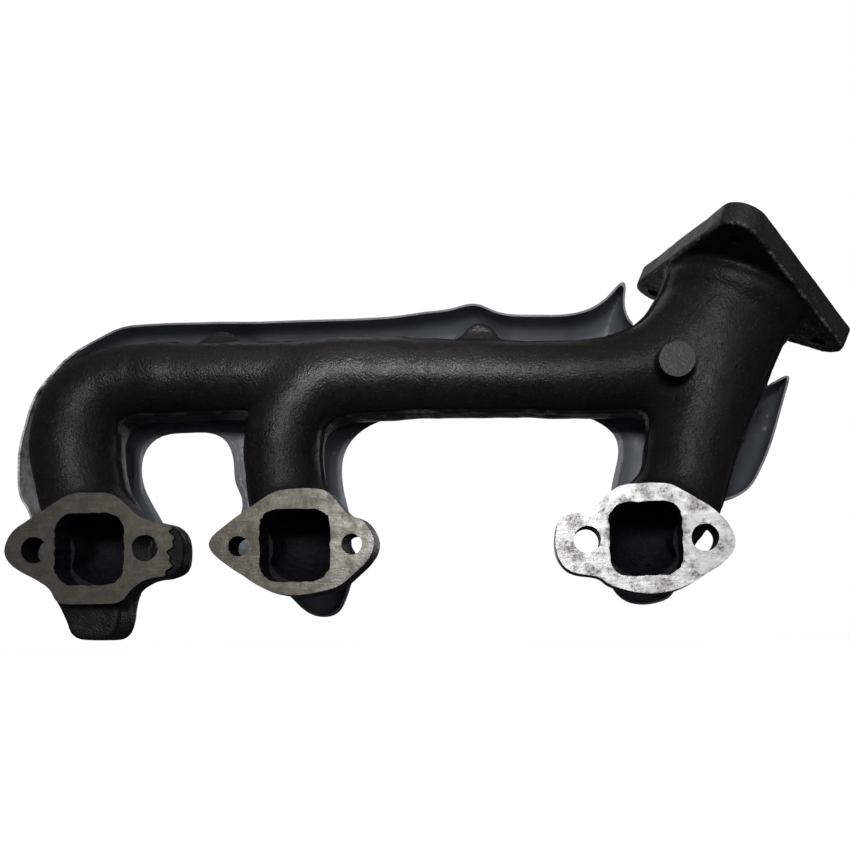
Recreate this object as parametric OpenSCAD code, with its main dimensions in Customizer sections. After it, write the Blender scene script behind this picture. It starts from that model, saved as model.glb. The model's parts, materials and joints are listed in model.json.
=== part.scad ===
// Cast-iron exhaust manifold with three port flanges, a common log and a three-bolt outlet,
// and the stamped heat shield that is bolted to its outer side.
// Origin: centre of the middle port, on the machined face that seals against the cylinder head.
// +X runs along the port row towards the outlet, +Y points away from the engine, +Z is up.

/* [Port row] */
// Distance between the centres of the first and the middle port
pitch_near = 111.8; // [108:0.1:116]
// Distance between the centres of the middle and the last port
pitch_far = 185.2; // [182:0.1:190]
// Width of a port opening
port_w = 38; // [34:0.5:39]
// Height of a port opening
port_h = 39; // [34:0.5:40]
// Corner radius of a port opening
port_corner_r = 10; // [6:0.5:14]
// Distance between the two bolt holes of a port
bolt_spacing = 61; // [60:0.1:62]
// Diameter of the bolt holes at the end ports, which leave room for growth when hot
end_hole_d = 14.3; // [11:0.1:15]
// Diameter of the bolt holes at the middle port, which locate the casting
middle_hole_d = 11; // [10.2:0.1:14]
// Thickness of the port flanges
flange_t = 19; // [15:0.5:20]

/* [Runners and log] */
// Thickness of the cast walls
wall = 5.5; // [4:0.5:6]
// Outer radius of the log
log_r = 21.5; // [20:0.5:22]
// Distance of the log's axis behind the port faces
log_y = 38; // [37:0.5:39]
// Height of the log's axis above the ports
log_z = 100; // [99:0.5:101]

/* [Outlet] */
// Circle through the three stud holes of the outlet flange
outlet_pcd = 118; // [114:0.5:120]
// Diameter of the tapped stud holes, at the thread's crests
outlet_hole_d = 8; // [7:0.1:10]
// Diameter of the gas passage at the outlet
outlet_bore_d = 57; // [50:0.5:60]
// Thickness of the outlet flange
outlet_t = 11.5; // [11:0.5:14]
// Radius of the outlet flange's rounded corners
outlet_corner_r = 15.5; // [14:0.5:18]

/* [Heat shield] */
// Thickness of the stamped sheet
sheet_t = 1.2; // [1:0.1:1.5]
// Distance of the shield's outer face behind the port faces
shield_y = 78; // [78:0.5:80]
// Depth of the rim that is turned towards the engine
rim_depth = 25; // [15:0.5:25]

/* [Shield fasteners] */
// Thread diameter of the shield bolts
bolt_d = 8; // [6:1:8]
// Width across flats of the bolt heads
bolt_af = 13; // [10:1:13]
// Outer diameter of the washers
washer_d = 24; // [20:1:25]
// Thickness of the washers
washer_t = 1.6; // [1:0.2:2]

/* [Hidden] */
$fn = 64;
eps = 0.1;

first_x = -pitch_near;
last_x = pitch_far;
flange_round = 4;

// Outline of each port flange, from the port's centre, X across and Z up
flange_first = [
    [-48, 0], [-43.5, 10.5], [-11, 30.5], [13, 30.5], [30, 14], [44, 13], [50.5, 6],
    [50.5, -9], [45, -15], [32, -16], [22.5, -22], [18, -29.5], [-18.5, -29.5],
    [-21, -21], [-43.5, -8]
];
flange_middle = [
    [-48, 3], [-36, 12.5], [-10, 30.2], [12, 30.2], [20, 27.5], [28, 15], [37, 13.5],
    [43.8, 2], [40, -8], [24, -22.5], [11, -25.7], [-3, -25.7], [-18, -23], [-44, -5]
];
flange_last = [
    [-44, 13], [-28.5, 14.2], [-16, 27.2], [-10, 28.7], [12, 28.7], [18, 25.5], [38, 13],
    [46.8, 1], [45, -10], [21, -25], [11, -28.3], [-3, -28.3], [-20, -24], [-24, -19],
    [-40, -17.5], [-47, -8], [-47, 5]
];

// Centre lines: [x, y, z, outer radius]
elbow_first = [first_x - 3, 28, 5, 26];
turn_first = [first_x - 18, 35, 27, 24.8];
rise_first = [first_x - 25.2, log_y, 62, 24];
elbow_middle = [-2, 28, 5, 25.5];
turn_middle = [-12, 34, 28, 22.8];
rise_middle = [-14.5, 35, 60, 21.6];
elbow_last = [last_x + 3, 29, 5, 26];
turn_last = [last_x + 15, 34, 24, 25];
rise_last = [last_x + 24.5, 37, 42, 24.5];
collector = [last_x + 37, 40, 84, 27.5];
neck_low = [last_x + 46, 42.5, 110, 32.5];
neck_r = 36;

bend_first_r = 34;
bend_middle_r = 38;

// Outlet flange: its centre on the neck side, its lean towards +X and +Y, and its turn
outlet_at = [243, 46, 143];
outlet_lean_x = 23.8;
outlet_lean_y = 3.6;
outlet_turn = -12.4;

// Room behind each bolt hole for the bolt's head, and the least wall between it and the gas
pocket_r = 10;
pocket_depth = 24;
pocket_wall = 3.5;

// Ground pad on the collector and the lug below the first flange
pad_at = [204, 4, 95];
pad_r = 9.6;
lug_at = [first_x - 1, 7, -36.5];

// Screw bosses for the shield: [x, z], in the order of the bolt nodes
shield_posts = [[-52, 119], [98, 119], [-136, 58], [224, 62]];
post_r = 9.5;
post_top_y = shield_y - sheet_t;
tap_depth = 14;
bolt_clear = 0.15;
head_h = 5.5;
collar_h = 1.5;
collar_d = 17;

// Outline of the shield, X across and Z up
shield_outline = [
    [-165, -4], [-180, 34], [-180, 66], [-171, 97], [-148, 122], [-116, 138.5],
    [46, 138], [66, 141], [80, 141.5], [95, 145.5], [108, 138], [150, 136],
    [167, 141], [183.5, 159], [180.5, 135], [200, 117], [232, 97], [260, 90],
    [277, 101], [260, 49], [250.5, 30], [235, 27], [221, -14], [205, -28], [186, -33],
    [172, -24], [168, 20], [180, 74], [160, 90], [40, 90], [14, 66], [12, 36],
    [24, 16], [16, -24], [2, -36], [-18, -26], [-44, 22], [-52, 44], [-56, 74],
    [-100, 74], [-106, 60], [-96, 20], [-98, -16], [-116, -28], [-140, -22]
];
shield_round = 6;
shield_gap = 3;

function xyz(p) = [p[0], p[1], p[2]];

// A straight limb between two centre-line points, shrunk by inset
module limb(from, to, inset = 0) {
    run = xyz(to) - xyz(from);
    span = norm(run);
    translate(xyz(from))
        rotate([0, acos(run[2] / span), atan2(run[1], run[0])])
            cylinder(h = span, r1 = from[3] - inset, r2 = to[3] - inset);
}

// A round joint at a centre-line point, a little prouder than the limbs it joins
module joint(at, inset = 0) {
    translate(xyz(at))
        sphere(r = at[3] + 0.4 - inset);
}

// Quarter bend in an XZ plane, from upright at its left end to level at its top
module quarter_bend(centre_x, y, centre_z, bend_r, tube_r) {
    translate([centre_x, y, centre_z])
        rotate([90, 0, 0])
            rotate([0, 0, 90])
                rotate_extrude(angle = 90)
                    translate([bend_r, 0])
                        circle(r = tube_r);
}

module rounded_port(w, h, r) {
    square([w - 2 * r, h], center = true);
    square([w, h - 2 * r], center = true);
    for (sx = [-1, 1], sz = [-1, 1])
        translate([sx * (w / 2 - r), sz * (h / 2 - r)])
            circle(r = r);
}

// Stand a flat outline up in the XZ plane and give it a depth towards +Y
module along_y(y0, y1) {
    translate([0, y1, 0])
        rotate([90, 0, 0])
            linear_extrude(height = y1 - y0)
                children();
}

module rod_y(at, r, y0, y1) {
    translate([at[0], y1, at[1]])
        rotate([90, 0, 0])
            cylinder(h = y1 - y0, r = r);
}

module port_flange(x, outline) {
    translate([x, 0, 0])
        along_y(0, flange_t)
            offset(r = flange_round)
                offset(delta = -flange_round)
                    polygon(outline);
}

module at_outlet() {
    translate(outlet_at)
        rotate([-outlet_lean_y, outlet_lean_x, 0])
            rotate([0, 0, outlet_turn])
                children();
}

module outlet_corner(k) {
    rotate([0, 0, 120 * k - 90])
        translate([outlet_pcd / 2, 0])
            children();
}

// Everything that gas flows through, as a solid; inset shrinks it to the passages
module gas_path(inset = 0) {
    for (path = [
        [elbow_first, turn_first], [turn_first, rise_first],
        [elbow_middle, turn_middle], [turn_middle, rise_middle],
        [elbow_last, turn_last], [turn_last, rise_last],
        [rise_last, collector], [collector, neck_low]
    ])
        limb(path[0], path[1], inset);
    for (at = [
        elbow_first, turn_first, rise_first,
        elbow_middle, turn_middle, rise_middle,
        elbow_last, turn_last, rise_last, collector, neck_low
    ])
        joint(at, inset);
    quarter_bend(rise_first[0] + bend_first_r, log_y, log_z - bend_first_r, bend_first_r, 23 - inset);
    quarter_bend(rise_middle[0] + bend_middle_r, rise_middle[1], log_z - 1 - bend_middle_r,
        bend_middle_r, log_r - 0.2 - inset);
    translate([rise_first[0] + bend_first_r, log_y, log_z])
        rotate([0, 90, 0])
            cylinder(h = collector[0] - rise_first[0] - bend_first_r, r = log_r - inset);
    limb(neck_low, [outlet_at[0], outlet_at[1], outlet_at[2], neck_r], inset);
}

module casting_body() {
    port_flange(first_x, flange_first);
    port_flange(0, flange_middle);
    port_flange(last_x, flange_last);
    for (x = [first_x, 0, last_x])
        rod_y([x, 0], 25.5, 4, 30);
    gas_path();
    at_outlet()
        linear_extrude(height = outlet_t)
            hull()
                for (k = [0:2])
                    outlet_corner(k)
                        circle(r = outlet_corner_r, $fn = 32);
    rod_y([pad_at[0], pad_at[2]], pad_r, pad_at[1], log_y);
    along_y(lug_at[1], lug_at[1] + 25)
        hull() {
            translate([lug_at[0], lug_at[2]])
                circle(r = 13, $fn = 32);
            translate([first_x - 3, -20])
                square([44, 4], center = true);
        }
    for (post = shield_posts)
        rod_y(post, post_r, log_y + 4, post_top_y);
}

// A rod along Y through every port bolt's place
module bolt_rods(r, y0, y1) {
    for (x = [first_x, 0, last_x], side = [-1, 1])
        rod_y([x + side * bolt_spacing / 2, 0], r, y0, y1);
}

module casting_cuts() {
    for (x = [first_x, 0, last_x])
        translate([x, 0, 0])
            along_y(-1, flange_t)
                rounded_port(port_w, port_h, port_corner_r);
    difference() {
        gas_path(inset = wall);
        bolt_rods(pocket_r + pocket_wall, flange_t - eps, flange_t + pocket_depth + pocket_wall);
    }
    bolt_rods(pocket_r, flange_t, flange_t + pocket_depth);
    at_outlet() {
        translate([0, 0, -10])
            cylinder(h = outlet_t + 20, r = outlet_bore_d / 2);
        for (k = [0:2])
            outlet_corner(k)
                translate([0, 0, -1])
                    cylinder(h = outlet_t + 2, r = outlet_hole_d / 2);
    }
    for (side = [-1, 1]) {
        for (x = [first_x, last_x])
            rod_y([x + side * bolt_spacing / 2, 0], end_hole_d / 2, -1, flange_t + 1);
        rod_y([side * bolt_spacing / 2, 0], middle_hole_d / 2, -1, flange_t + 1);
    }
    for (post = shield_posts)
        rod_y(post, bolt_d / 2 + bolt_clear, post_top_y - tap_depth, post_top_y + 1);
}

module manifold_casting() {
    color([0.20, 0.19, 0.18])
        difference() {
            casting_body();
            casting_cuts();
        }
}

module shield_shape(inset = 0) {
    offset(delta = -inset)
        offset(r = shield_round)
            offset(delta = -shield_round)
                polygon(shield_outline);
}

module heat_shield() {
    color([0.33, 0.38, 0.43])
        difference() {
            along_y(shield_y - rim_depth, shield_y)
                shield_shape();
            along_y(shield_y - rim_depth - 1, shield_y - sheet_t)
                shield_shape(inset = sheet_t);
            gas_path(inset = -shield_gap);
            for (post = shield_posts)
                rod_y(post, bolt_d / 2 + 0.6, shield_y - 5, shield_y + 5);
        }
}

module shield_bolt(i) {
    at = shield_posts[i];
    seat_y = shield_y + washer_t;
    color([0.45, 0.44, 0.42]) {
        rod_y(at, bolt_d / 2, post_top_y - tap_depth + 2, seat_y + eps);
        rod_y(at, collar_d / 2, seat_y, seat_y + collar_h);
        translate([at[0], seat_y + collar_h + head_h - eps, at[1]])
            rotate([90, 0, 0])
                cylinder(h = head_h, r = bolt_af / sqrt(3), $fn = 6);
    }
}

module shield_washer(i) {
    color([0.52, 0.51, 0.49])
        difference() {
            rod_y(shield_posts[i], washer_d / 2, shield_y, shield_y + washer_t);
            rod_y(shield_posts[i], bolt_d / 2 + 0.4, shield_y - 1, shield_y + washer_t + 1);
        }
}

manifold_casting();
heat_shield();
shield_bolt(0);  // shield_bolt_top_left
shield_bolt(1);  // shield_bolt_top_right
shield_bolt(2);  // shield_bolt_low_left
shield_bolt(3);  // shield_bolt_low_right
shield_washer(0);  // shield_washer_top_left
shield_washer(1);  // shield_washer_top_right
shield_washer(2);  // shield_washer_low_left
shield_washer(3);  // shield_washer_low_right
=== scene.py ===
"""Exhaust manifold with its heat shield: the visible model, its materials, light and camera.

Shapes are worked out in millimetres in the row frame: X along the port row, Y away from the
engine, Z up. Cast and stamped shapes are signed distance fields that are turned into meshes.
"""

import json
import math

import bmesh
import bpy
import numpy as np
import openvdb
from mathutils import Matrix, Vector


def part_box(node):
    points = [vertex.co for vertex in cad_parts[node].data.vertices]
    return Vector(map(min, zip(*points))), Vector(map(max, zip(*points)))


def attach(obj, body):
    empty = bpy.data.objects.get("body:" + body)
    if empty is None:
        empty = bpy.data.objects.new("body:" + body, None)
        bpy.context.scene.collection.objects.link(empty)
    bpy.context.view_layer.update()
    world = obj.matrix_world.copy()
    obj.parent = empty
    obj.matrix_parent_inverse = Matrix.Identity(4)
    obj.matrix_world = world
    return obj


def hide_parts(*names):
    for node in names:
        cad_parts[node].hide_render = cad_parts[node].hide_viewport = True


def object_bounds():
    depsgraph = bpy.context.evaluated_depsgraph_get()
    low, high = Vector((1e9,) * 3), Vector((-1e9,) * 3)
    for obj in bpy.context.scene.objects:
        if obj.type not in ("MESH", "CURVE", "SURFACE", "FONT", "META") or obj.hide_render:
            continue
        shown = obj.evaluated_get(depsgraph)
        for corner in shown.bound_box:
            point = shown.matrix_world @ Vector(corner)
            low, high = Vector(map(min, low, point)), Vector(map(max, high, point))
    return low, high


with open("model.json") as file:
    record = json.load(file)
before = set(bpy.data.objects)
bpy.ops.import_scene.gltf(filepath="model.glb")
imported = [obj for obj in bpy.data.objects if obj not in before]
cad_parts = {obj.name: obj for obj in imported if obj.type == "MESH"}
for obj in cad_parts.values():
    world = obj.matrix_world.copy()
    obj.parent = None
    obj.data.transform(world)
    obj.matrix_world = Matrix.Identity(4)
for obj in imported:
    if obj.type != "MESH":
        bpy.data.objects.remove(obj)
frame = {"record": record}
cad_low, cad_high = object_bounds()

MM = 0.001
FAR = 60.0  # distance that stands for open space in a field
REACH = 16.0  # room round an added shape in which its fillet may form
GRID_STEP = 1.25
PASSAGE_STEP = 2.0
SHIELD_STEP = 1.6
rng = np.random.default_rng(11)

# ---------------------------------------------------------------- places taken from the frame

mounts = {m["name"]: m for m in frame["record"]["mounts"]}


def mount_place(name):
    """Where a mount of the record is, in mm."""
    return np.array(mounts[name]["pos_m"]) / MM


PORTS = ("first", "middle", "last")
port_x = {name: mount_place(f"{name}_port_bolts")[0] for name in PORTS}
bolt_hole_r = {name: mounts[f"{name}_port_bolts"]["dims"]["hole_r_mm"] for name in PORTS}
bolt_spacing = mounts["middle_port_bolts"]["dims"]["spacing_x_mm"]

outlet_top = mount_place("outlet_studs")
outlet_axis = np.array(mounts["outlet_studs"]["axis"])
stud_circle_r = mounts["outlet_studs"]["dims"]["pcd_mm"] / 2
stud_hole_r = mounts["outlet_studs"]["dims"]["hole_r_mm"]
outlet_bore_r = mounts["outlet_bore"]["dims"]["r_mm"]
outlet_t = mounts["outlet_bore"]["dims"]["length_mm"]

CORNERS = ("top_left", "top_right", "low_left", "low_right")
washer_box = {name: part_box(f"shield_washer_{name}") for name in CORNERS}
bolt_box = {name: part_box(f"shield_bolt_{name}") for name in CORNERS}
post_at = {name: (low + high) / 2 / MM for name, (low, high) in washer_box.items()}
shield_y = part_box("heat_shield")[1].y / MM

PORT_W, PORT_H, PORT_CORNER_R = 38.0, 39.0, 10.0
WALL = 5.5
FLANGE_T = 19.0
FACE_TOP = 50.0  # the port faces are ground up to here, as the outlet flange reaches past them
PARTING_Y = 38.0
REAR_STEP, REAR_DEPTH = 1.5, 23.0  # the rear mould half's overlap and depth at the parting plane
POCKET_R, POCKET_DEPTH, POCKET_WALL = 10.5, 25.0, 3.5
POST_R, POST_HOLE_R = 9.5, 4.15
PAD_AT, PAD_R = (204.0, 4.0, 95.0), 9.6
PLATE_CORNERS = (1.04, 1.04, 0.98)  # distances of the corner arcs' centres, in stud circle radii
OUTLET_CORNER_R = 12.5
OUTLET_TURN = math.radians(-12.4)
NECK_R = 36.0
EAR_BREAK_X, EAR_BREAK_Y = 44.5, 2.4  # mean line of the broken ear, from the first port
SHEET_T = 1.2

# Material slots of the casting, in the order of its list of materials; the rim slot is a lighter copy of
# the skin as painted light, and the soot slot also paints shade into the bolt holes
SKIN, PORT_FACE, SOOT_AND_SHADE, OUTLET_FACE, PAD_FACE, WORN_EDGE, PAINTED_LIT_RIM = range(7)
SOOT_SKIN = 1.3  # faces this close to the gas are sooty

# ---------------------------------------------------------------- distance fields


def smooth_min(a, b, k):
    """The lower of a and b, rounded where they are within k of each other."""
    h = np.maximum(k - np.abs(a - b), 0) / k
    return np.minimum(a, b) - h * h * k / 4


def smooth_max(a, b, k):
    """The higher of a and b, rounded where they are within k of each other."""
    return -smooth_min(-a, -b, k)


def smooth_step(low, high, value):
    t = np.clip((value - low) / (high - low), 0, 1)
    return t * t * (3 - 2 * t)


class Field:
    """Signed distance in mm on a grid of cubes, negative inside the shape."""

    def __init__(self, low, high, step):
        self.step = step
        self.low = np.array(low, float)
        count = np.ceil((np.array(high) - self.low) / step).astype(int) + 1
        self.axes = [start + step * np.arange(n) for start, n in zip(self.low, count)]
        self.value = np.full(count, FAR, np.float32)

    def places(self):
        """The grid's x, y and z, shaped to spread over the grid."""
        return np.ix_(*(axis.astype(np.float32) for axis in self.axes))

    def window(self, low, high):
        """The slices of the grid between two corners, and their x, y and z."""
        cut = tuple(
            slice(*np.searchsorted(axis, (a, b))) for axis, a, b in zip(self.axes, low, high)
        )
        return cut, *np.ix_(*(axis[part].astype(np.float32) for axis, part in zip(self.axes, cut)))

    def add(self, distance, low, high, blend):
        """Join a shape that lies between two corners, with a fillet of about blend."""
        cut, x, y, z = self.window(np.array(low) - REACH, np.array(high) + REACH)
        self.value[cut] = smooth_min(self.value[cut], distance(x, y, z), blend)

    def add_tube(self, path, blend):
        """Join a tube along points (x, y, z, outer radius)."""
        points = rounded_path(path)
        radius = points[:, 3:].max()
        low = points[:, :3].min(0) - radius
        high = points[:, :3].max(0) + radius
        self.add(lambda x, y, z: tube_distance(x, y, z, points), low, high, blend)

    def mesh(self, name):
        """The surface where the field is zero, as a closed mesh object in metres."""
        grid = openvdb.FloatGrid(FAR)
        grid.copyFromArray(np.ascontiguousarray(self.value, np.float32))
        points, quads = grid.convertToQuads(isovalue=0.0)
        return mesh_object(name, (self.low + points * self.step) * MM, quads)

    def lumps(self, wavelength):
        """Soft random unevenness between about -1 and 1, one lump per wavelength."""
        grid = rng.uniform(-1, 1, [int((a[-1] - a[0]) / wavelength) + 3 for a in self.axes])
        for i, axis in enumerate(self.axes):
            at = (axis - axis[0]) / wavelength
            cell = at.astype(int)
            part = at - cell
            part = (part * part * (3 - 2 * part)).reshape([-1 if i == j else 1 for j in range(3)])
            grid = np.take(grid, cell, i) * (1 - part) + np.take(grid, cell + 1, i) * part
        return grid.astype(np.float32)


def rounded_path(path, parts=5):
    """A smooth curve through the path's points, radius included."""
    p = np.array([path[0], *path, path[-1]], float)
    curve = []
    for i in range(1, len(p) - 2):
        for t in np.arange(parts) / parts:
            curve.append(
                0.5
                * (
                    2 * p[i]
                    + (p[i + 1] - p[i - 1]) * t
                    + (2 * p[i - 1] - 5 * p[i] + 4 * p[i + 1] - p[i + 2]) * t**2
                    + (3 * p[i] - p[i - 1] - 3 * p[i + 1] + p[i + 2]) * t**3
                )
            )
    return np.array([*curve, p[-2]])


def tube_distance(x, y, z, points):
    """Signed distance to a tube along points (x, y, z, radius), negative inside."""
    best = FAR
    for a, b in zip(points[:-1].tolist(), points[1:].tolist()):
        run = [b[i] - a[i] for i in range(3)]
        along = (x - a[0]) * run[0] + (y - a[1]) * run[1] + (z - a[2]) * run[2]
        t = np.clip(along / sum(r * r for r in run), 0, 1)
        gap = np.sqrt(
            (x - a[0] - t * run[0]) ** 2
            + (y - a[1] - t * run[1]) ** 2
            + (z - a[2] - t * run[2]) ** 2
        )
        best = np.minimum(best, gap - (a[3] + t * (b[3] - a[3])))
    return best


def outline_distance(x, z, corners):
    """Signed distance to a closed outline, negative inside."""
    nearest = np.float32(1e9)
    inside = np.zeros(np.broadcast(x, z).shape, bool)
    for (ax, az), (bx, bz) in zip(corners, [*corners[1:], corners[0]]):
        run_x, run_z = bx - ax, bz - az
        t = np.clip(((x - ax) * run_x + (z - az) * run_z) / (run_x**2 + run_z**2), 0, 1)
        nearest = np.minimum(nearest, (x - ax - t * run_x) ** 2 + (z - az - t * run_z) ** 2)
        if run_z:
            inside ^= ((az > z) != (bz > z)) & (x < run_x * (z - az) / run_z + ax)
    return np.where(inside, -1, 1) * np.sqrt(nearest)


def soften(corners, reach):
    """Round an outline's corners, each over at most reach along its sides."""
    out = []
    count = len(corners)
    for i, corner in enumerate(corners):
        here = np.array(corner, float)
        ends = []
        for other in (corners[i - 1], corners[(i + 1) % count]):
            run = np.array(other, float) - here
            length = np.linalg.norm(run)
            ends.append(here + run / length * min(reach, length / 2))
        for t in (0, 0.25, 0.5, 0.75, 1):
            point = (1 - t) ** 2 * ends[0] + 2 * t * (1 - t) * here + t * t * ends[1]
            if not out or math.dist(out[-1], point) > 0.01:
                out.append((float(point[0]), float(point[1])))
    return out if math.dist(out[0], out[-1]) > 0.01 else out[:-1]


# ---------------------------------------------------------------- mesh helpers


def mesh_object(name, points, faces):
    """A new object from points in metres and faces."""
    mesh = bpy.data.meshes.new(name)
    mesh.from_pydata(np.asarray(points).tolist(), [], np.asarray(faces).tolist())
    mesh.update()
    obj = bpy.data.objects.new(name, mesh)
    bpy.context.scene.collection.objects.link(obj)
    return obj


def bm_object(name, bm):
    """A new object from a bmesh, which is then freed."""
    mesh = bpy.data.meshes.new(name)
    bmesh.ops.recalc_face_normals(bm, faces=bm.faces)
    bm.to_mesh(mesh)
    bm.free()
    obj = bpy.data.objects.new(name, mesh)
    bpy.context.scene.collection.objects.link(obj)
    return obj


def prism(name, outline, low, high, to_world):
    """A closed prism over an outline, between two heights, placed by a 4x4 matrix; all mm."""
    bm = bmesh.new()
    rings = [[bm.verts.new((a, b, h)) for a, b in outline] for h in (low, high)]
    bm.faces.new(rings[0][::-1])
    bm.faces.new(rings[1])
    for i in range(len(outline)):
        j = (i + 1) % len(outline)
        bm.faces.new((rings[0][i], rings[0][j], rings[1][j], rings[1][i]))
    bmesh.ops.transform(bm, matrix=Matrix.Scale(MM, 4) @ to_world, verts=bm.verts)
    return bm_object(name, bm)


def circle(radius, count=48, ragged=0.0):
    """Points of a circle, with its radius uneven by ragged."""
    waves = [(int(rng.integers(2, 14)), rng.uniform(0, 6.3)) for _ in range(6)] if ragged else []
    out = []
    for i in range(count):
        a = math.tau * i / count
        r = radius + ragged / 6 * sum(math.sin(n * a + phase) for n, phase in waves)
        out.append((r * math.cos(a), r * math.sin(a)))
    return out


def boolean(obj, others, operation="DIFFERENCE"):
    """Apply booleans with each of the others, which are then removed."""
    for other in others:
        step = obj.modifiers.new("boolean", "BOOLEAN")
        step.operation = operation
        step.solver = "MANIFOLD"
        step.object = other
    done = bpy.data.meshes.new_from_object(
        obj.evaluated_get(bpy.context.evaluated_depsgraph_get())
    )
    obj.modifiers.clear()
    done.materials.clear()
    obj.data = done
    for other in others:
        bpy.data.objects.remove(other)


def smooth_shading(obj, degrees):
    obj.data.shade_smooth()
    obj.data.set_sharp_from_angle(angle=math.radians(degrees))


def facing_y(x, z):
    """Matrix for shapes whose outline lies in XZ and whose height runs along +Y."""
    return Matrix(((1, 0, 0, x), (0, 0, 1, 0), (0, 1, 0, z), (0, 0, 0, 1)))


def lathe(name, profile, to_world, count=48):
    """A closed solid turned from (radius, height) points, placed by a 4x4 matrix; all mm."""
    bm = bmesh.new()
    rings = []
    for i in range(count):
        a = math.tau * i / count
        rings.append([bm.verts.new((r * math.cos(a), r * math.sin(a), h)) for r, h in profile])
    closed = len(profile) if profile[0][0] > 0 else len(profile) - 1
    for i in range(count):
        near, far = rings[i], rings[(i + 1) % count]
        for j in range(closed):
            k = (j + 1) % len(profile)
            bm.faces.new((near[j], near[k], far[k], far[j]))
    bmesh.ops.remove_doubles(bm, verts=bm.verts, dist=1e-6)
    bmesh.ops.dissolve_degenerate(bm, edges=bm.edges, dist=1e-6)
    bmesh.ops.transform(bm, matrix=Matrix.Scale(MM, 4) @ to_world, verts=bm.verts)
    return bm_object(name, bm)


# ---------------------------------------------------------------- casting

# Corners (x, z) of each port flange from its port's centre, rounded over FLANGE_SOFT
FLANGE_OUTLINE = {
    "first": [
        (-48, 0), (-43.5, 10.5), (-11, 30.5), (13, 30.5), (30, 14), (44, 13), (50.5, 6),
        (50.5, -9), (45, -15), (32, -16), (22.5, -22), (18, -29.5), (-18.5, -29.5),
        (-21, -21), (-43.5, -8),
    ],
    "middle": [
        (-48, 3), (-36, 12.5), (-10, 30.2), (12, 30.2), (20, 27.5), (28, 15), (37, 13.5),
        (43.8, 2), (40, -8), (24, -22.5), (11, -25.7), (-3, -25.7), (-18, -23), (-44, -5),
    ],
    "last": [
        (-44, 13), (-28.5, 14.2), (-16, 27.2), (-10, 28.7), (12, 28.7), (18, 25.5), (38, 13),
        (46.8, 1), (45, -10), (21, -25), (11, -28.3), (-3, -28.3), (-20, -24), (-24, -19),
        (-40, -17.5), (-47, -8), (-47, 5),
    ],
}
FLANGE_SOFT = 7.0
FLANGE_DRAFT = 0.05

first, last = port_x["first"], port_x["last"]
neck_at = outlet_top - outlet_axis * outlet_t

# Tubes as points (x, y, z, outer radius)
RUNNER_FIRST = [
    (first, 8, 0, 25.5), (first - 2, 25, 3, 25.5), (first - 10, 32, 14, 24.5),
    (first - 18, 35, 28, 23.5), (first - 22.5, 36, 44, 23.6), (first - 25, 37, 62, 24.7),
    (first - 22.5, 38, 81, 23.2), (first - 14.5, 38, 92, 21.6), (first - 4, 38, 98, 20.4),
    (first + 10, 38, 101.1, 19.6), (first + 26, 38, 101.6, 19.4),
]
LOG = [
    (first + 26, 38, 101.6, 19.4), (-40, 38, 101.2, 19.2), (25, 38, 100.2, 19.3),
    (80, 38, 98.8, 19.6), (112, 38, 97.6, 19.1), (140, 38, 96.7, 18.4), (166, 38, 96.7, 18.8),
    (205, 40, 99, 21),
]
LOG_SWEEP = [
    (140, 38, 95, 13), (164, 38.3, 95.5, 14.5), (184, 39.5, 99.5, 17.5),
    (204, 41, 108, 22), (222, 43, 123, 27),
]
RUNNER_MIDDLE = [
    (0, 8, 0, 25.5), (-1.5, 25, 3, 25.5), (-6.5, 32, 14, 24), (-11.5, 34, 28, 22),
    (-14.5, 34.5, 44, 21.2), (-15, 34.5, 60, 21.3), (-12, 34.5, 75, 21), (-4, 35, 87, 20.8),
    (8, 36, 95.8, 20.6), (24, 37, 99.2, 20), (46, 38, 99.8, 19.4),
]
RUNNER_LAST = [
    (last, 8, 0, 26), (last + 2, 24, 3, 26), (last + 10, 31, 12, 25.3),
    (last + 21, 35, 25, 23.8), (last + 26.5, 36.5, 38, 23.2), (last + 32, 38, 62, 25.2),
    (last + 37.3, 39.5, 80, 27), (last + 43, 41.5, 98, 29.8), (last + 50, 44, 122, 33.5),
    (*neck_at, NECK_R),
]
TUBES = (RUNNER_FIRST, LOG, RUNNER_MIDDLE, RUNNER_LAST, LOG_SWEEP)
TUBE_FILLETS = (
    (RUNNER_FIRST, 1), (LOG, 4), (RUNNER_LAST, 12), (LOG_SWEEP, 12), (RUNNER_MIDDLE, 7),
)
LUG_OUTLINE = soften([
    (-27, -14), (-24, -24), (-17, -37), (-13, -48.6), (9, -48.8), (13, -40), (14, -30), (20, -14),
], 6)

# The outlet flange's own axes: u and v in its plane, w along the outlet's axis
lean = math.atan2(outlet_axis[0], outlet_axis[2])
flange_u = np.array([math.cos(lean), 0, -math.sin(lean)])
flange_v = np.cross(outlet_axis, flange_u)
stud_angles = [math.tau * k / 3 - math.pi / 2 + OUTLET_TURN for k in range(3)]
stud_uv = [(stud_circle_r * math.cos(a), stud_circle_r * math.sin(a)) for a in stud_angles]
plate_uv = [(u * out, v * out) for (u, v), out in zip(stud_uv, PLATE_CORNERS)]
outlet_frame = Matrix(
    [(*(float(row[i]) for row in (flange_u, flange_v, outlet_axis)), float(neck_at[i]))
     for i in range(3)]
    + [(0, 0, 0, 1)]
)


def outlet_place(x, y, z):
    """Places in the outlet flange's own axes, from the middle of its lower side."""
    dx, dy, dz = x - neck_at[0], y - neck_at[1], z - neck_at[2]
    return [dx * a[0] + dy * a[1] + dz * a[2] for a in (flange_u, flange_v, outlet_axis)]


def outlet_flange_distance(x, y, z):
    """The triangular plate, with 3 mm to spare on top for the cut that faces it."""
    u, v, w = outlet_place(x, y, z)
    across = outline_distance(u, v, plate_uv) - OUTLET_CORNER_R
    return np.maximum(smooth_max(across, -w, 1.6), w - outlet_t - 3)


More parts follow.
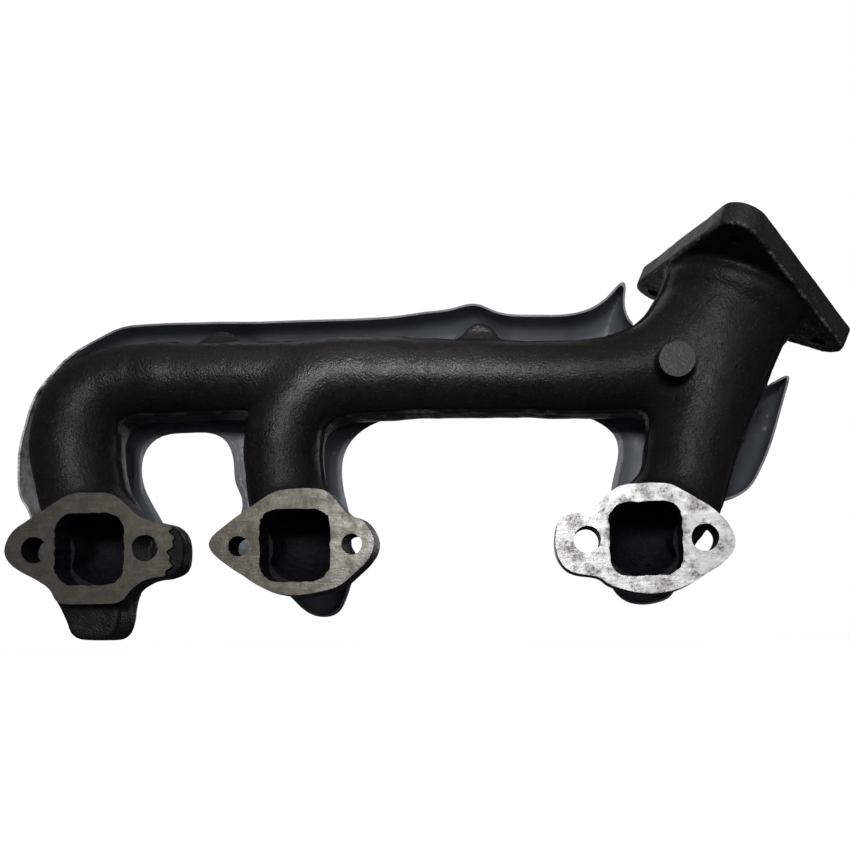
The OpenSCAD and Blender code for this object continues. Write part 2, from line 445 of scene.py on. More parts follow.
def neck_ridge_distance(x, y, z):
    """A low ridge round the neck where it meets the outlet flange."""
    u, v, w = outlet_place(x, y, z)
    return np.sqrt((np.sqrt(u * u + v * v) - NECK_R + 3.5) ** 2 + (w + 6.5) ** 2) - 5.5


def port_flange_distance(name):
    """A port flange that widens to the rear, with 3 mm to spare for the cut that faces it."""
    outline = soften(FLANGE_OUTLINE[name], FLANGE_SOFT)

    def distance(x, y, z):
        across = outline_distance(x - port_x[name], z, outline)
        return np.maximum(smooth_max(across - FLANGE_DRAFT * y, y - FLANGE_T, 5.0), -3 - y)

    return distance


def rod_distance(x0, z0, radius, y0, y1):
    """A round boss along Y."""

    def distance(x, y, z):
        across = np.sqrt((x - x0) ** 2 + (z - z0) ** 2) - radius
        return smooth_max(across, np.maximum(y0 - y, y - y1), 2.0)

    return distance


def lug_distance(x, y, z):
    """The cast lug that hangs below the first flange."""
    across = outline_distance(x - first, z, LUG_OUTLINE)
    return smooth_max(across - 0.02 * (y - 7), np.maximum(7 - y, y - 31), 2.5)


def bolt_rods(x, y, z, radius, y0, y1):
    """Rods along Y through the places of all port bolts."""
    best = FAR
    for name in PORTS:
        for side in (-1, 1):
            at_x = port_x[name] + side * bolt_spacing / 2
            best = np.minimum(best, np.sqrt((x - at_x) ** 2 + z**2) - radius)
    return np.maximum(best, np.maximum(y0 - y, y - y1))


def shape_rear_half(field):
    """Shape what lies behind the parting plane, and return the distance to the parting flash.

    The rear mould half is a little wider than the front one and flat at its bottom. From the
    height of the log up it is squarer, and the flash is narrower there.
    """
    _, y, z = field.places()
    plane = round((PARTING_Y - field.low[1]) / field.step)
    outline = field.value[:, plane : plane + 1, :].copy()
    square = smooth_step(62, 80, z)
    wider = outline - REAR_STEP - (0.03 + 0.05 * square) * np.maximum(y - PARTING_Y, 0)
    back = y - (PARTING_Y + REAR_DEPTH)
    rear = np.maximum(smooth_max(wider, back, 24.0 - 12.0 * square), PARTING_Y - y)
    ragged = field.lumps(5)[:, :1, :] * 0.7 + field.lumps(14)[:, :1, :] * 0.5
    flash_out = 0.5 + 1.2 * smooth_step(104, 92, z)
    field.value = np.minimum(field.value, rear)
    return np.maximum(outline - flash_out * (1 + 0.6 * ragged), np.abs(y - PARTING_Y) - 0.6)


def add_flanges(field):
    """The three port flanges, and the outlet flange with the ridge below it."""
    for name in PORTS:
        centre = port_x[name]
        field.add(port_flange_distance(name), (centre - 52, -4, -32), (centre + 54, 20, 34), 6)
    field.add(neck_ridge_distance, neck_at - (45, 45, 30), neck_at + (45, 45, 30), 8)
    field.add(outlet_flange_distance, neck_at - (80, 80, 45), neck_at + (80, 80, 45), 4)


def add_bosses(field):
    """The shield's posts, the ground pad on the collector and the lug."""
    rods = [(at[0], at[2], POST_R, PARTING_Y, shield_y - SHEET_T, 5) for at in post_at.values()]
    rods.append((PAD_AT[0], PAD_AT[2], PAD_R, PAD_AT[1] - 3, PARTING_Y, 3))
    for x, z, radius, y0, y1, blend in rods:
        low, high = (x - 12, y0, z - 12), (x + 12, y1, z + 12)
        field.add(rod_distance(x, z, radius, y0, y1), low, high, blend)
    field.add(lug_distance, (first - 38, 5, -50), (first + 28, 35, -14), 4)


def break_first_ear(field):
    """Take the skin off the first flange's right ear, outside a ragged line."""
    cut, x, y, z = field.window((first + 36, -8, -22), (first + 60, 8, 20))
    ragged = 1.3 * np.sin(z / 1.9) + 1.1 * np.sin(z / 0.83 + 1) + 0.12 * z
    bite = np.maximum(first + EAR_BREAK_X + ragged - x, y - EAR_BREAK_Y)
    field.value[cut] = smooth_max(field.value[cut], -bite, 0.8)


def casting_field():
    """Field of the whole casting, and its values while it is tubes only."""
    field = Field((-168, PARTING_Y - 70, -56), (319, 106, 181), GRID_STEP)
    for path, blend in TUBE_FILLETS:
        field.add_tube(path, blend)
    flash = shape_rear_half(field)
    tubes = field.value.copy()
    field.value = np.minimum(field.value, flash)
    rods = bolt_rods(*field.places(), POCKET_R, FLANGE_T, FLANGE_T + POCKET_DEPTH)
    field.value = smooth_max(field.value, -rods, 3.0).astype(np.float32)
    add_flanges(field)
    add_bosses(field)
    break_first_ear(field)
    field.value += 0.30 * field.lumps(16) + 0.16 * field.lumps(5)
    return field, tubes


def gas_path(path):
    """A tube's path with its inner radius."""
    return [(x, y, z, r - WALL) for x, y, z, r in path]


def passages():
    """The gas passages as one closed mesh, kept clear of the bolts' pockets."""
    field = Field((-165, -2, -30), (300, 80, 178), PASSAGE_STEP)
    for path in TUBES:
        field.add_tube(gas_path(path), 6)
    x, y, z = field.places()
    rods = bolt_rods(x, y, z, POCKET_R + POCKET_WALL, -5, FLANGE_T + POCKET_DEPTH + POCKET_WALL)
    field.value = np.maximum(np.maximum(field.value, 11 - y), -rods)
    field.value += 0.4 * field.lumps(9)
    return field.mesh("passages")


def smooth_port(spacing=1.2):
    """Points of a rounded square port, about spacing apart."""
    corners = []
    for sx, sz, start in ((1, 1, 0), (-1, 1, 90), (-1, -1, 180), (1, -1, 270)):
        cx = sx * (PORT_W / 2 - PORT_CORNER_R)
        cz = sz * (PORT_H / 2 - PORT_CORNER_R)
        for i in range(12):
            a = math.radians(start + 90 * i / 11)
            corners.append((cx + PORT_CORNER_R * math.cos(a), cz + PORT_CORNER_R * math.sin(a)))
    points = []
    for (ax, az), (bx, bz) in zip(corners, [*corners[1:], corners[0]]):
        parts = max(1, round(math.hypot(bx - ax, bz - az) / spacing))
        points += [(ax + (bx - ax) * i / parts, az + (bz - az) * i / parts) for i in range(parts)]
    return points


def port_outline():
    """A rounded square port, uneven as cast, with a few chips in its upright sides."""
    waves = [
        (int(rng.integers(3, 22)), rng.uniform(0, 6.3), rng.uniform(0.02, 0.09)) for _ in range(9)
    ]
    outline = []
    for x, z in smooth_port():
        a = math.atan2(z, x)
        nick = rng.uniform(-0.22, 0.28) + (0.7 if rng.random() < 0.07 else 0)
        nick *= smooth_step(0.6, 1.0, abs(x / z))
        grow = 1 + (nick + sum(amp * math.sin(n * a + phase) for n, phase, amp in waves)) / 19
        outline.append((x * grow, z * grow))
    return outline


def casting_cutters():
    """Closed shapes that the casting's cores, cutters and drills take away."""
    front = [(-200, -80), (280, -80), (280, FACE_TOP), (-200, FACE_TOP)]
    wide = [(-400, -400), (400, -400), (400, 400), (-400, 400)]
    cutters = [passages(), prism("face_cut", front, -30, 0, facing_y(0, 0))]
    for name in PORTS:
        cutters.append(prism("port_cut", port_outline(), -5, FLANGE_T, facing_y(port_x[name], 0)))
        for side in (-1, 1):
            at = facing_y(port_x[name] + side * bolt_spacing / 2, 0)
            hole = circle(bolt_hole_r[name], 40, 0.15)
            cutters.append(prism("bolt_hole", hole, -5, FLANGE_T + 2, at))
    around = circle(PAD_R + 6, 24)
    cutters.append(prism("pad_cut", around, -10, PAD_AT[1], facing_y(PAD_AT[0], PAD_AT[2])))
    cutters.append(prism("top_cut", wide, outlet_t, outlet_t + 60, outlet_frame))
    cutters.append(prism("outlet_bore", circle(outlet_bore_r, 72), -14, outlet_t + 5, outlet_frame))
    for u, v in stud_uv:
        hole = [(u + a, v + b) for a, b in circle(stud_hole_r, 32)]
        cutters.append(prism("stud_hole", hole, -3, outlet_t + 5, outlet_frame))
    for at in post_at.values():
        place = facing_y(at[0], at[2])
        cutters.append(prism("post_hole", circle(POST_HOLE_R, 24), shield_y - 15, shield_y + 2, place))
    return cutters


def casting_slots(centre, normal):
    """The material slot of each of the casting's faces."""
    x, y, z = centre.T
    facing = -normal[:, 1]
    slot = np.full(len(centre), SKIN)
    to_gas = [tube_distance(x, y, z, rounded_path(gas_path(path))) for path in TUBES]
    slot[np.minimum.reduce(to_gas) < SOOT_SKIN] = SOOT_AND_SHADE
    for name in PORTS:
        from_port = x - port_x[name]
        in_port = (np.abs(from_port) < PORT_W / 2 + 1.2) & (np.abs(z) < PORT_H / 2 + 1.2)
        slot[in_port & (y > 0.3) & (y < 25)] = SOOT_AND_SHADE
        for side in (-1, 1):
            across = from_port - side * bolt_spacing / 2
            off_axis = np.hypot(across, z)
            facing_in = normal[:, 0] * across + normal[:, 2] * z < -0.3 * off_axis
            # Painted shade: the walls of the bolt holes and their pockets take the near-black passage
            # material.
            slot[(off_axis < 12) & (y > 0.3) & facing_in] = SOOT_AND_SHADE
    slot[(y < 0.05) & (z < FACE_TOP) & (facing > 0.9)] = PORT_FACE
    # The broken ear's face is made near black.
    broken = (x > first + 43) & (x < first + 56) & (np.abs(z) < 20) & (y > 0.3) & (y < 3.4)
    slot[broken & (facing > 0.4)] = SOOT_AND_SHADE

    u, v, w = outlet_place(x, y, z)
    slot[(np.abs(w - outlet_t) < 0.05) & (normal @ outlet_axis > 0.9)] = OUTLET_FACE
    across = outline_distance(u, v, plate_uv) - OUTLET_CORNER_R
    # Painted light: the outlet plate's sides get a lighter copy of the skin.
    slot[(w > 0.6) & (w < outlet_t - 0.2) & (across > -1.5)] = PAINTED_LIT_RIM
    slot[(np.abs(w - 0.4) < 0.8) & (np.abs(across + 0.5) < 0.8) & (v < 22)] = WORN_EDGE

    on_pad = np.hypot(x - PAD_AT[0], z - PAD_AT[2]) < PAD_R + 3
    slot[(np.abs(y - PAD_AT[1]) < 0.05) & (facing > 0.9) & on_pad] = PAD_FACE
    return slot


def paint_casting(mesh):
    """Set each face's material slot from its centre and normal."""
    count = len(mesh.polygons)
    centre = np.zeros(count * 3, np.float32)
    normal = np.zeros(count * 3, np.float32)
    mesh.polygons.foreach_get("center", centre)
    mesh.polygons.foreach_get("normal", normal)
    slot = casting_slots(centre.reshape(-1, 3) / MM, normal.reshape(-1, 3))
    mesh.polygons.foreach_set("material_index", slot.astype(np.int32))
    mesh.update()


def make_casting(materials):
    """The casting, and the field of its tubes, which the shield stays clear of."""
    field, tubes = casting_field()
    obj = field.mesh("cast_manifold_body")
    boolean(obj, casting_cutters())
    for material in materials:
        obj.data.materials.append(material)
    paint_casting(obj.data)
    smooth_shading(obj, 38)
    field.value = tubes
    return obj, field


# ---------------------------------------------------------------- heat shield

# Corners (x, z) of the shield's rim, rounded over SHIELD_SOFT
SHIELD_OUTLINE = [
    (-158, -18), (-170, -6), (-171, 27), (-179.6, 37), (-179.6, 66), (-171, 97), (-148, 122),
    (-116, 138.5), (46, 138), (66, 141), (80, 141.5), (95, 145.5), (108, 138), (150, 136),
    (167, 141), (183.5, 159), (180.5, 135), (200, 117), (232, 97), (260, 90),
    (277, 101), (260, 49), (250.5, 30), (233, 25), (216, 20), (212, -12), (207, -28),
    (199, -32), (188, -33.5), (178, -31), (170, -22), (166, 10), (167, 38), (173, 62),
    (167, 70), (150, 78), (140, 90), (60, 90), (44, 78), (27, 72), (17.5, 60), (17.5, 42),
    (22, 26), (23.5, -2), (17, -24), (11.5, -35.5), (2, -37.5), (-8, -34), (-19, -22), (-46, -5),
    (-61, 2), (-63, 18), (-54, 32), (-61, 44), (-61, 62), (-67, 71), (-98, 71), (-106, 62),
    (-106, 48), (-100, 36), (-93, 24), (-87, 9), (-89, -3), (-98, -14), (-116, -19),
    (-140, -20),
]
SHIELD_SOFT = 10.0
SHIELD_BEND = 17.0
SHIELD_CLEARANCE = 2.6
PRESS_DEPTH = 2.2
RIM_FRONT = 53.0


def shield_press(x, z):
    """Depth of the pressing below the bolt pads and ribs, in mm."""
    raised = np.zeros(np.broadcast(x, z).shape)
    for at in post_at.values():
        raised = np.maximum(raised, smooth_step(21, 15, np.hypot(x - at[0], z - at[2])))
    for x0, x1, z0 in ((-30, 76, 112), (10, 150, 100)):
        along = np.clip(x, x0, x1)
        raised = np.maximum(raised, 0.8 * smooth_step(8, 2, np.hypot(x - along, z - z0)))
    return PRESS_DEPTH * (1 - raised)


def rim_front(x, z):
    """How far towards the engine the turned rim reaches, as its Y."""
    window = np.minimum(smooth_step(-126, -112, x), smooth_step(112, 96, z))
    window = window * smooth_step(232, 214, x)
    feet = 5 * smooth_step(6, -14, z)
    return RIM_FRONT + np.maximum(20 * smooth_step(-14, 6, z), feet) * window


def shield_fields():
    """Outer loaf, inner loaf and the room in front of the rim."""
    low, high = (-190, 36, -42), (286, 84, 168)
    outer, inner, front = (Field(low, high, SHIELD_STEP) for _ in range(3))
    x, y, z = outer.places()
    across = outline_distance(x, z, soften(SHIELD_OUTLINE, SHIELD_SOFT))
    across = across + outer.lumps(26)[:, :1, :] * 0.5
    back = shield_y - shield_press(x, z)
    across, back, rim = (part.astype(np.float32) for part in (across, back, rim_front(x, z)))
    body = smooth_max(across, y - back, SHIELD_BEND)
    outer.value = np.maximum(body, 42 - y)
    inner.value = np.maximum(body + SHEET_T, 39 - y)
    ends = np.maximum(np.abs(x - 48) - 235, np.abs(z - 63) - 102)
    front.value = np.maximum(np.maximum(y - rim, 37.8 - y), ends)
    return outer, inner, front


def make_shield(tubes, material):
    """The pressed sheet, cut back where the casting's tubes come close to its rim."""
    outer, inner, front = (field.mesh("pressed_shield") for field in shield_fields())
    tubes.value = tubes.value - SHIELD_CLEARANCE
    holes = [
        prism("shield_hole", circle(4.6, 32), shield_y - 8, shield_y + 4, facing_y(at[0], at[2]))
        for at in post_at.values()
    ]
    boolean(outer, [inner, front, tubes.mesh("clear"), *holes])
    outer.data.materials.append(material)
    smooth_shading(outer, 40)
    return outer


# ---------------------------------------------------------------- shield fasteners

ACROSS_FLATS = 13.0
SHANK_R = 4.0
COLLAR_R = 8.5


def make_bolt(name, material):
    """A flanged hex bolt: chamfered head, collar and shank."""
    low, high = bolt_box[name]
    at = post_at[name]
    tip = low.y / MM + 0.6
    seat = washer_box[name][1].y / MM
    top = high.y / MM
    corner_r = ACROSS_FLATS / math.sqrt(3)
    place = facing_y(at[0], at[2])
    turn = rng.uniform(0, math.tau / 6)
    angles = [turn + math.tau * k / 6 for k in range(6)]
    hexagon = [(corner_r * math.cos(a), corner_r * math.sin(a)) for a in angles]
    head = prism(f"hex_bolt_{name}", hexagon, seat + 0.5, top, place)
    chamfer = lathe("chamfer", [
        (0, seat), (corner_r + 0.2, seat), (corner_r + 0.2, top - 1.0),
        (corner_r - 0.9, top - 0.1), (4.6, top - 0.1), (4.2, top - 0.5), (0, top - 0.5),
    ], place)
    boolean(head, [chamfer], "INTERSECT")
    collar = lathe("collar", [
        (0, seat), (COLLAR_R - 0.2, seat), (COLLAR_R, seat + 0.3), (COLLAR_R - 0.1, seat + 0.9),
        (COLLAR_R - 1.1, seat + 1.6), (0, seat + 1.6),
    ], place)
    shank = lathe("shank", [
        (0, tip), (SHANK_R - 0.6, tip), (SHANK_R, tip + 0.8), (SHANK_R, seat + 0.2), (0, seat + 0.2),
    ], place, 32)
    boolean(head, [collar, shank], "UNION")
    head.data.materials.append(material)
    smooth_shading(head, 30)
    return head


def make_washer(name, material):
    """A flat washer with a rounded rim."""
    low, high = washer_box[name]
    at = post_at[name]
    y0, y1 = low.y / MM, high.y / MM
    r = (high.x - low.x) / 2 / MM
    washer = lathe(f"wide_washer_{name}", [
        (4.5, y0), (r - 0.4, y0), (r, y0 + 0.4), (r, y1 - 0.6), (r - 0.5, y1), (4.8, y1),
        (4.5, y1 - 0.3),
    ], facing_y(at[0], at[2]), 64)
    washer.data.materials.append(material)
    smooth_shading(washer, 30)
    return washer


# ---------------------------------------------------------------- materials


class Shader:
    """One material, with short ways to add and link its nodes. Lengths are in metres."""

    def __init__(self, name):
        self.material = bpy.data.materials.new(name)
        self.material.use_nodes = True
        self.tree = self.material.node_tree
        self.surface = self.tree.nodes["Principled BSDF"]
        self.place = self.add("ShaderNodeTexCoord").outputs["Object"]

    def add(self, kind, inputs=None, **settings):
        node = self.tree.nodes.new(kind)
        for key, value in settings.items():
            setattr(node, key, value)
        for key, value in (inputs or {}).items():
            self.put(node.inputs[key], value)
        return node

    def put(self, socket, value):
        if isinstance(value, bpy.types.NodeSocket):
            self.tree.links.new(value, socket)
        else:
            socket.default_value = value

    def noise(self, size, detail=3.0, roughness=0.5, stretch=(1, 1, 1)):
        """Noise whose features are about size across."""
        place = self.place
        if stretch != (1, 1, 1):
            place = self.add("ShaderNodeMapping", {"Vector": place, "Scale": stretch}).outputs[0]
        inputs = {"Vector": place, "Scale": 1 / size, "Detail": detail, "Roughness": roughness}
        return self.add("ShaderNodeTexNoise", inputs).outputs["Fac"]

    def cells(self, size):
        """Distance to the middle of the nearest of random cells about size across."""
        inputs = {"Vector": self.place, "Scale": 1 / size}
        return self.add("ShaderNodeTexVoronoi", inputs).outputs["Distance"]

    def spread(self, value, low, high, to_low=0.0, to_high=1.0):
        """Map low..high to to_low..to_high, clamped."""
        inputs = {
            "Value": value, "From Min": low, "From Max": high, "To Min": to_low, "To Max": to_high,
        }
        return self.add("ShaderNodeMapRange", inputs).outputs["Result"]

    def mix(self, factor, a, b, blend="MIX"):
        """Colour a blended with b; colours are (red, green, blue) or sockets."""
        node = self.add("ShaderNodeMix", data_type="RGBA", blend_type=blend)
        for index, value in ((0, factor), (6, a), (7, b)):
            if isinstance(value, tuple):
                value = (*value, 1.0)
            self.put(node.inputs[index], value)
        return node.outputs[2]

    def math(self, operation, a, b):
        node = self.add("ShaderNodeMath", operation=operation)
        self.put(node.inputs[0], a)
        self.put(node.inputs[1], b)
        return node.outputs[0]

    def along(self, axis):
        """Place along an axis of the row frame."""
        split = self.add("ShaderNodeSeparateXYZ", {"Vector": self.place})
        return split.outputs[axis]

    def bump(self, height, distance, strength=1.0, under=None):
        inputs = {"Height": height, "Distance": distance, "Strength": strength}
        if under is not None:
            inputs["Normal"] = under
        return self.add("ShaderNodeBump", inputs).outputs["Normal"]

    def finish(self, **inputs):
        """Set the surface's inputs, named with underscores, and return the material."""
        for key, value in inputs.items():
            key = key.replace("_", " ")
            if isinstance(value, tuple):
                value = (*value, 1.0)
            self.put(self.surface.inputs[key], value)
        return self.material


def cast_iron(name, lift=1.0):
    """Dark as-cast skin: sand grain, fine pits, olive and brown stains, and a painted highlight band along
    the log.

    Its colours are lifted by a factor where the iron is ground, and on the outlet plate's sides, where the
    lift is painted light.
    """
    s = Shader(name)
    grain = s.noise(0.0012, 2.0, 0.6)
    sand = s.noise(0.0035, 3.0, 0.65)
    swell = s.noise(0.018, 2.0)
    pits = s.spread(s.cells(0.0030), 0.10, 0.32)
    stain = s.spread(s.noise(0.045, 4.0, 0.6), 0.42, 0.62)
    rust = s.spread(s.noise(0.013, 5.0, 0.7), 0.60, 0.76)
    dark, light, olive, brown, speck = (
        tuple(lift * c for c in colour)
        for colour in (
            (0.0050, 0.0050, 0.0059), (0.0108, 0.0108, 0.0121), (0.0124, 0.0120, 0.0096),
            (0.045, 0.033, 0.024), (0.060, 0.059, 0.058),
        )
    )
    tone = s.mix(s.spread(sand, 0.3, 0.7), dark, light)
    tone = s.mix(s.math("MULTIPLY", stain, 0.7), tone, olive)
    tone = s.mix(s.math("MULTIPLY", rust, 0.25), tone, brown)
    tone = s.mix(s.spread(grain, 0.61, 0.78, 0.0, 0.7), tone, speck)
    normal = s.bump(swell, 0.0010, 0.4)
    normal = s.bump(sand, 0.00035, 0.6, normal)
    normal = s.bump(grain, 0.0004, 0.85, normal)
    normal = s.bump(pits, 0.0002, 0.4, normal)
    rough = s.spread(s.noise(0.009, 4.0, 0.6), 0.3, 0.7, 0.32, 0.46)
    # Painted highlight: the specular level is raised in a band along the log, above the runners and short
    # of the neck, to put the sheen there.
    painted_sheen_band = s.math("MINIMUM", s.spread(s.along("X"), -0.13, 0.03), s.spread(s.along("X"), 0.16, 0.09))
    painted_sheen_band = s.math("MULTIPLY", painted_sheen_band, s.spread(s.along("Z"), 0.060, 0.095))
    sheen = s.math("ADD", s.math("MULTIPLY", painted_sheen_band, 0.40), 0.16)
    return s.finish(Base_Color=tone, Roughness=rough, Normal=normal, Specular_IOR_Level=sheen)


def ground_iron(name, dark, bright, low_x, high_x):
    """Milled flange face with stains and cutter marks, brighter towards the last port: partly its own tone,
    partly painted reflection.
    """
    s = Shader(name)
    marks = s.noise(0.0011, 2.0, 0.5, (0.12, 1, 1))
    blotch = s.noise(0.009, 5.0, 0.7)
    speck = s.noise(0.0016, 3.0, 0.7)
    # Partly painted reflection: the base colour brightens along X towards the last port.
    tone = s.mix(s.spread(s.along("X"), low_x, high_x), dark, bright)
    streak = s.noise(0.0040, 5.0, 0.75, (0.3, 1, 1))
    tone = s.mix(s.spread(blotch, 0.44, 0.60, 0.0, 0.75), tone, (0.50, 0.49, 0.47), "MULTIPLY")
    tone = s.mix(s.spread(streak, 0.50, 0.60, 0.0, 0.7), tone, (1.45, 1.45, 1.45), "MULTIPLY")
    crust = s.math("MULTIPLY", s.spread(speck, 0.48, 0.57), s.spread(blotch, 0.50, 0.58))
    tone = s.mix(s.math("MULTIPLY", crust, 0.85), tone, (0.085, 0.080, 0.070))
    tone = s.mix(s.spread(speck, 0.64, 0.74, 0.0, 0.8), tone, (0.10, 0.095, 0.085))
    normal = s.bump(marks, 0.0002, 0.35)
    normal = s.bump(speck, 0.0003, 0.35, normal)
    rough = s.spread(blotch, 0.3, 0.7, 0.34, 0.52)
    return s.finish(Base_Color=tone, Metallic=0.75, Roughness=rough, Normal=normal)


def worn_edge():
    """Cast edge that is knocked bare in places."""
    s = Shader("worn_edge")
    patch = s.noise(0.008, 4.0, 0.7)
    fine = s.noise(0.0014, 3.0, 0.6)
    bare = s.math("MULTIPLY", s.spread(patch, 0.44, 0.60), s.spread(fine, 0.34, 0.56))
    tone = s.mix(bare, (0.012, 0.012, 0.013), (0.19, 0.185, 0.175))
    normal = s.bump(fine, 0.0004, 0.6)
    return s.finish(Base_Color=tone, Roughness=0.5, Normal=normal)


def soot_and_painted_shade():
    """Inside of the ports: rough and almost black, with faint bluish scale; in the bolt holes and their
    pockets it is painted shade.
    """
    s = Shader("passage_scale_and_painted_shade")
    flakes = s.noise(0.004, 4.0, 0.7)
    tone = s.mix(s.spread(flakes, 0.4, 0.7), (0.0022, 0.0022, 0.0048), (0.0070, 0.0065, 0.0095))
    normal = s.bump(flakes, 0.0012, 0.8)
    rough = s.spread(flakes, 0.3, 0.7, 0.55, 0.85)
    return s.finish(Base_Color=tone, Roughness=rough, Normal=normal, Specular_IOR_Level=0.25)


def shield_coat():
    """Dark blue-grey heat-proof coating on pressed steel, rubbed bare at the rim."""
    s = Shader("shield_coating")
    cloud = s.noise(0.035, 4.0, 0.55)
    fine = s.noise(0.0022, 3.0, 0.6)
    scuff = s.noise(0.006, 5.0, 0.7, (0.4, 1, 1))
    tone = s.mix(s.spread(cloud, 0.3, 0.7), (0.078, 0.094, 0.109), (0.130, 0.152, 0.172))
    bare = s.spread(s.along("Y"), RIM_FRONT * MM + 0.0075, RIM_FRONT * MM + 0.001)
    bare = s.math("MULTIPLY", bare, s.spread(scuff, 0.42, 0.60))
    bare = s.math("MULTIPLY", bare, s.spread(s.along("X"), -0.130, -0.160, 0.12, 1.0))
    rubbed = s.spread(s.along("X"), -0.166, -0.173)
    rubbed = s.math("MULTIPLY", rubbed, s.spread(s.along("Y"), 0.070, 0.058))
    rubbed = s.math("MULTIPLY", rubbed, s.spread(scuff, 0.36, 0.56, 0.15, 1.0))
    bare = s.math("MAXIMUM", bare, s.math("MULTIPLY", rubbed, s.spread(s.along("Z"), 0.098, 0.080)))
    scratch = s.spread(scuff, 0.66, 0.74, 0.0, 0.35)
    tone = s.mix(s.math("MAXIMUM", bare, scratch), tone, (0.80, 0.80, 0.78))
    normal = s.bump(cloud, 0.002, 0.35)
    normal = s.bump(fine, 0.0002, 0.5, normal)
    rough = s.spread(fine, 0.3, 0.7, 0.36, 0.52)
    return s.finish(Base_Color=tone, Metallic=s.math("MULTIPLY", bare, 0.3), Roughness=rough, Normal=normal)


def steel(name, tone, size, low_rough, high_rough):
    """Dull plated or stamped steel with heat stains."""
    s = Shader(name)
    cloud = s.noise(size, 5.0, 0.65)
    fine = s.noise(0.0009, 3.0, 0.6)
    dark = tuple(0.45 * c for c in tone)
    colour = s.mix(s.spread(cloud, 0.35, 0.68), tone, dark)
    colour = s.mix(s.spread(cloud, 0.62, 0.75, 0.0, 0.5), colour, (0.16, 0.09, 0.05))
    normal = s.bump(fine, 0.00012, 0.6)
    rough = s.spread(cloud, 0.3, 0.7, low_rough, high_rough)
    return s.finish(Base_Color=colour, Metallic=0.85, Roughness=rough, Normal=normal)


def pale_floor():
    """A pale floor that sends little light back up onto the object."""
    s = Shader("floor")
    tone = s.mix(s.noise(0.4), (0.26, 0.26, 0.26), (0.30, 0.30, 0.30))
    s.finish(Base_Color=tone, Roughness=0.95, Specular_IOR_Level=0.0,
             Emission_Color=(1.0, 1.0, 1.0), Emission_Strength=0.96)
    dim = s.add("ShaderNodeBsdfDiffuse", {"Color": (0.12, 0.12, 0.12, 1.0)})
    seen = s.add("ShaderNodeLightPath").outputs["Is Camera Ray"]
    both = s.add("ShaderNodeMixShader", {0: seen, 1: dim.outputs[0], 2: s.surface.outputs[0]})
    s.tree.links.new(both.outputs[0], s.tree.nodes["Material Output"].inputs["Surface"])
    return s.material


# ---------------------------------------------------------------- the model

skin = cast_iron("cast_iron_skin")
# The plate's sides: the skin lifted 2.4 times, as painted light.
rim_painted_lighter = cast_iron("cast_iron_rim_painted_light", 2.4)
port_faces = ground_iron("ground_port_faces", (0.112, 0.103, 0.086), (0.44, 0.44, 0.43), 0.0, 0.17)
outlet_face = ground_iron("ground_outlet_face", (0.42, 0.42, 0.41), (0.46, 0.46, 0.45), 0.0, 0.3)
pad_face = cast_iron("ground_pad_face", 5.0)

casting, tubes = make_casting(
    [skin, port_faces, soot_and_painted_shade(), outlet_face, pad_face, worn_edge(), rim_painted_lighter]
)
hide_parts("manifold_casting")
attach(casting, "root")

shield = make_shield(tubes, shield_coat())
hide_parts("heat_shield")
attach(shield, "root")

zinc = steel("dulled_zinc", (0.40, 0.39, 0.36), 0.006, 0.32, 0.55)
plain_steel = steel("stamped_steel", (0.46, 0.45, 0.43), 0.011, 0.28, 0.50)
for corner in CORNERS:
    bolt = make_bolt(corner, zinc)
    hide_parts(f"shield_bolt_{corner}")
    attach(bolt, "root")
    washer = make_washer(corner, plain_steel)
    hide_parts(f"shield_washer_{corner}")
    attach(washer, "root")

# ---------------------------------------------------------------- floor, light and camera

FLOOR_DROP = 0.024
FLOOR_SIZE = 12.0

bm = bmesh.new()
bmesh.ops.create_grid(bm, x_segments=1, y_segments=1, size=FLOOR_SIZE / 2)
floor = bm_object("floor", bm)
floor.location = (0.07, 0, cad_low.z - FLOOR_DROP)
floor.data.materials.append(pale_floor())


def soft_light(name, at, aim, size, power):
    """A white rectangular light; places and size in metres, power in watts."""
    data = bpy.data.lights.new(name, "AREA")
    data.shape = "RECTANGLE"
    data.size, data.size_y = size
    data.energy = power
    light = bpy.data.objects.new(name, data)
    bpy.context.scene.collection.objects.link(light)
    light.location = at
    light.rotation_mode = "QUATERNION"
    light.rotation_quaternion = (Vector(aim) - Vector(at)).to_track_quat("-Z", "Y")


soft_light("key", (0.02, -1.02, 0.28), (0.06, 0.02, 0.10), (0.30, 0.20), 6.5)
soft_light("top", (-0.10, -0.55, 1.10), (0.06, 0.02, 0.10), (0.9, 0.5), 1.1)
soft_light("right", (0.74, -1.18, 0.10), (0.19, 0, 0), (1.1, 0.9), 4.5)
soft_light("back", (0.06, 1.1, 1.0), (0.06, 0.05, 0.08), (1.2, 0.5), 1.4)
soft_light("rear", (0.10, 1.5, 0.12), (0.06, 0.05, 0.06), (1.4, 0.7), 3.6)


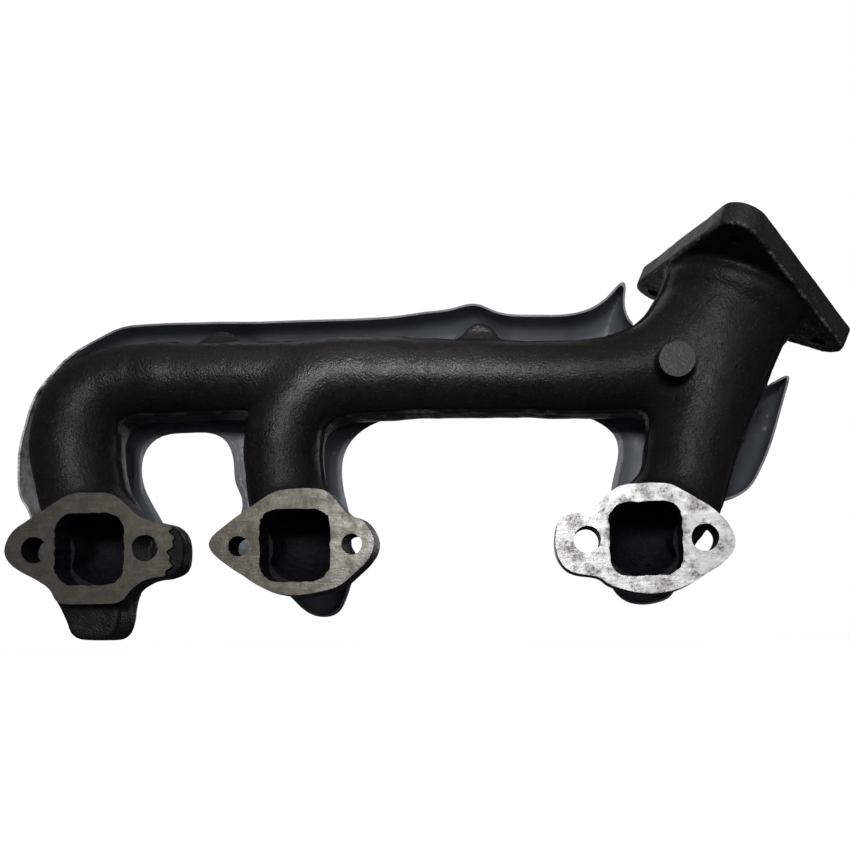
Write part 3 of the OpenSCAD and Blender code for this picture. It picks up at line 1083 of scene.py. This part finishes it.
def studio_world(strength):
    """A dim room, brighter overhead than below, behind a white backdrop."""
    world = bpy.data.worlds.new("studio")
    world.use_nodes = True
    tree = world.node_tree
    room = tree.nodes["Background"]
    room.inputs["Strength"].default_value = strength
    height = tree.nodes.new("ShaderNodeSeparateXYZ")
    tree.links.new(tree.nodes.new("ShaderNodeTexCoord").outputs["Generated"], height.inputs[0])
    glow = tree.nodes.new("ShaderNodeMapRange")
    glow.inputs["From Min"].default_value = -0.3
    glow.inputs["From Max"].default_value = 1.0
    glow.inputs["To Min"].default_value = 0.25
    tree.links.new(height.outputs["Z"], glow.inputs["Value"])
    tree.links.new(glow.outputs["Result"], room.inputs["Color"])
    backdrop = tree.nodes.new("ShaderNodeBackground")
    backdrop.inputs["Color"].default_value = (1.0, 1.0, 1.0, 1.0)
    seen = tree.nodes.new("ShaderNodeMixShader")
    ray = tree.nodes.new("ShaderNodeLightPath")
    tree.links.new(ray.outputs["Is Camera Ray"], seen.inputs["Fac"])
    tree.links.new(room.outputs[0], seen.inputs[1])
    tree.links.new(backdrop.outputs[0], seen.inputs[2])
    tree.links.new(seen.outputs[0], tree.nodes["World Output"].inputs["Surface"])
    return world


bpy.context.scene.world = studio_world(0.12)
bpy.context.scene.view_settings.view_transform = "Standard"

# Camera: place in metres, then where it points in degrees and where its axis meets the picture
CAMERA_AT = (0.1271, -0.5223, -0.0502)
YAW, PITCH, ROLL = (math.radians(a) for a in (-3.176, 2.128, -0.809))
FOCAL = 42.28
SHIFT = (-0.0647, 0.2059)

ahead = Vector((math.sin(YAW) * math.cos(PITCH), math.cos(YAW) * math.cos(PITCH), math.sin(PITCH)))
level = Vector((math.cos(YAW), -math.sin(YAW), 0))
upright = level.cross(ahead)
right = math.cos(ROLL) * level + math.sin(ROLL) * upright
up = -math.sin(ROLL) * level + math.cos(ROLL) * upright
lens = bpy.data.cameras.new("camera")
lens.sensor_width = 36.0
lens.lens = FOCAL
lens.shift_x, lens.shift_y = SHIFT
lens.clip_start, lens.clip_end = 0.01, 100.0
camera = bpy.data.objects.new("camera", lens)
bpy.context.scene.collection.objects.link(camera)
turn = Matrix((right, up, -ahead)).transposed().to_4x4()
camera.matrix_world = Matrix.Translation(CAMERA_AT) @ turn
bpy.context.scene.camera = camera
